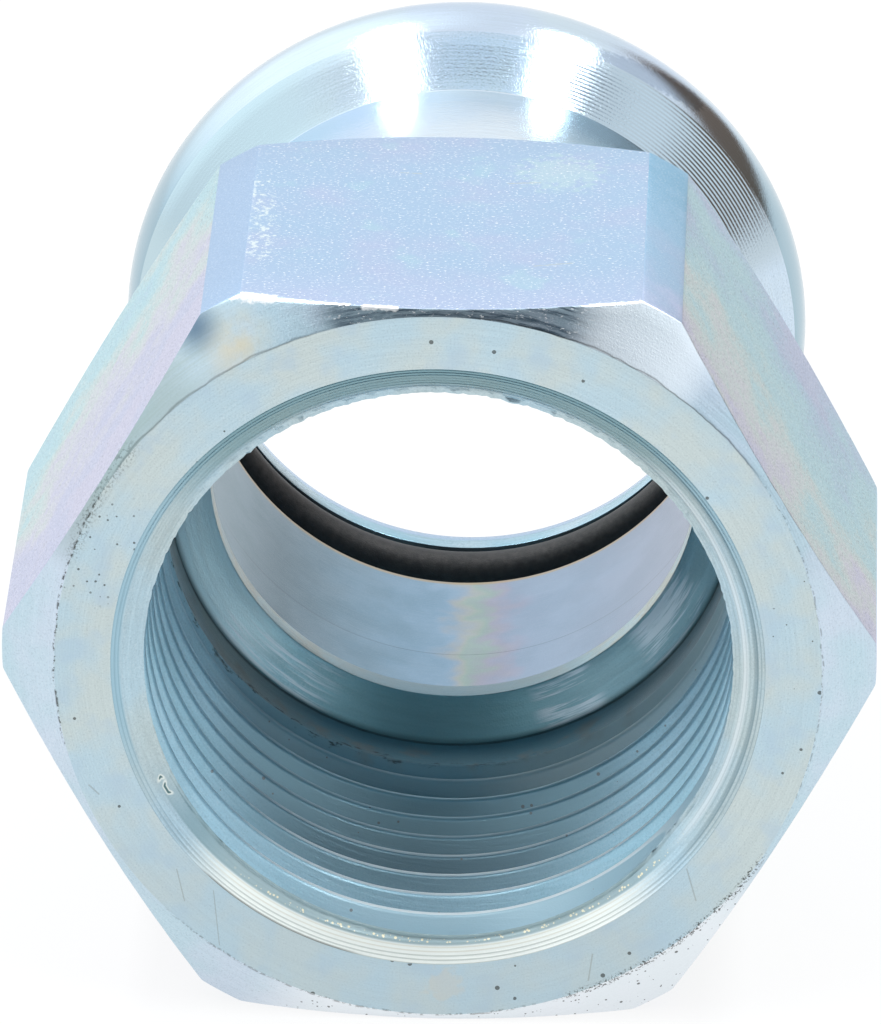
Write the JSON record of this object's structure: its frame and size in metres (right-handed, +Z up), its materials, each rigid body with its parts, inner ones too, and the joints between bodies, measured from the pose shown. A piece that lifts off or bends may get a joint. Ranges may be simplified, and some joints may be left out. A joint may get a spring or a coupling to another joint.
{
  "type": "threaded pipe coupling",
  "caption": "Zinc-plated steel adapter coupling with a hexagon over a female parallel pipe thread at one end and a round beaded press socket with a rubber seal at the other.",
  "frame": {"origin": "under the middle of the part, on the surface that it lies on, so the main axis is 20 mm above the origin", "axes": "+Y along the main axis from the threaded mouth to the press socket's mouth, +Z up through the hexagon's top flat, +X across the corners of the hexagon"},
  "size_m": [0.0448, 0.0486, 0.04],
  "materials": {
    "zinc_plated_steel": "turned steel with bright blue-white zinc plating",
    "seal_rubber": "smooth black rubber"
  },
  "bodies": {
    "root": {"fitting_body": "zinc_plated_steel", "seal_ring": "seal_rubber"}
  },
  "joints": []
}
